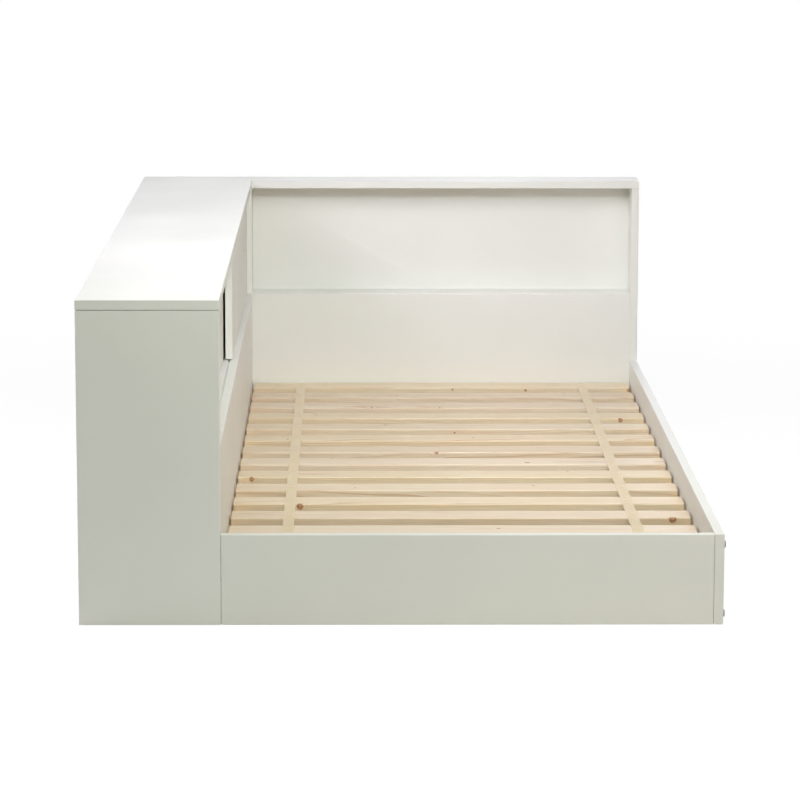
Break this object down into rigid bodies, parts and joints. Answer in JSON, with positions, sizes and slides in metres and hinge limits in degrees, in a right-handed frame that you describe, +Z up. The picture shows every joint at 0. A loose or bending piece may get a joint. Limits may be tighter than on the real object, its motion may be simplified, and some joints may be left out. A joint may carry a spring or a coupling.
{
  "type": "bookcase headboard bed",
  "caption": "Low single bed with a storage cabinet along one long side behind bypass sliding doors, an open shelf niche as headboard, a low foot board and rail, and a pine slatted base.",
  "frame": {"origin": "centre of the whole object's box at floor level", "axes": "+X from the storage cabinet towards the low side rail, +Y from the foot board towards the shelf headboard, +Z up"},
  "size_m": [1.206, 2.128, 0.612],
  "materials": {
    "white_lacquer": "satin white lacquer on board",
    "pine": "planed, unfinished softwood",
    "ribbon": "woven polyester ribbon",
    "beech": "sanded hardwood",
    "white_plastic": "moulded and extruded plastic",
    "zinc": "die-cast zinc alloy",
    "plated_steel": "zinc-plated steel"
  },
  "bodies": {
    "bed_frame": {"barrel_nuts": "plated_steel", "cabinet_cleat": "pine", "cabinet_divider": "white_lacquer", "cabinet_front_end": "white_lacquer", "cabinet_jamb": "white_lacquer", "cabinet_lower_support_1": "white_lacquer", "cabinet_lower_support_2": "white_lacquer", "cabinet_lower_wall": "white_lacquer", "cabinet_outer_panel": "white_lacquer", "cabinet_partition": "white_lacquer", "cabinet_rear_end": "white_lacquer", "cabinet_shelf": "white_lacquer", "cabinet_top": "white_lacquer", "cam_locks": "zinc", "cam_studs": "plated_steel", "corner_brackets": "plated_steel", "door_track": "white_plastic", "foot_board": "white_lacquer", "headboard_back": "white_lacquer", "headboard_cap": "white_lacquer", "headboard_ledge": "white_lacquer", "headboard_lower_panel": "white_lacquer", "headboard_upright": "white_lacquer", "loose_tongues": "beech", "rail_bolts": "plated_steel", "rail_cleat": "pine", "side_rail": "white_lacquer", "slat_01": "pine", "slat_02": "pine", "slat_03": "pine", "slat_04": "pine", "slat_05": "pine", "slat_06": "pine", "slat_07": "pine", "slat_08": "pine", "slat_09": "pine", "slat_10": "pine", "slat_11": "pine", "slat_12": "pine", "slat_13": "pine", "slat_14": "pine", "webbing_left": "ribbon", "webbing_right": "ribbon"},
    "front_sliding_door": {"front_door": "white_lacquer", "front_door_glides": "white_plastic"},
    "rear_sliding_door": {"rear_door": "white_lacquer", "rear_door_glides": "white_plastic"}
  },
  "joints": [
    {"name": "front_door_slide", "type": "slide", "parent": "bed_frame", "child": "front_sliding_door", "axis": [0, -1, 0], "range_m": [0, 0.994]},
    {"name": "rear_door_slide", "type": "slide", "parent": "bed_frame", "child": "rear_sliding_door", "axis": [0, 1, 0], "range_m": [0, 0.994]}
  ]
}
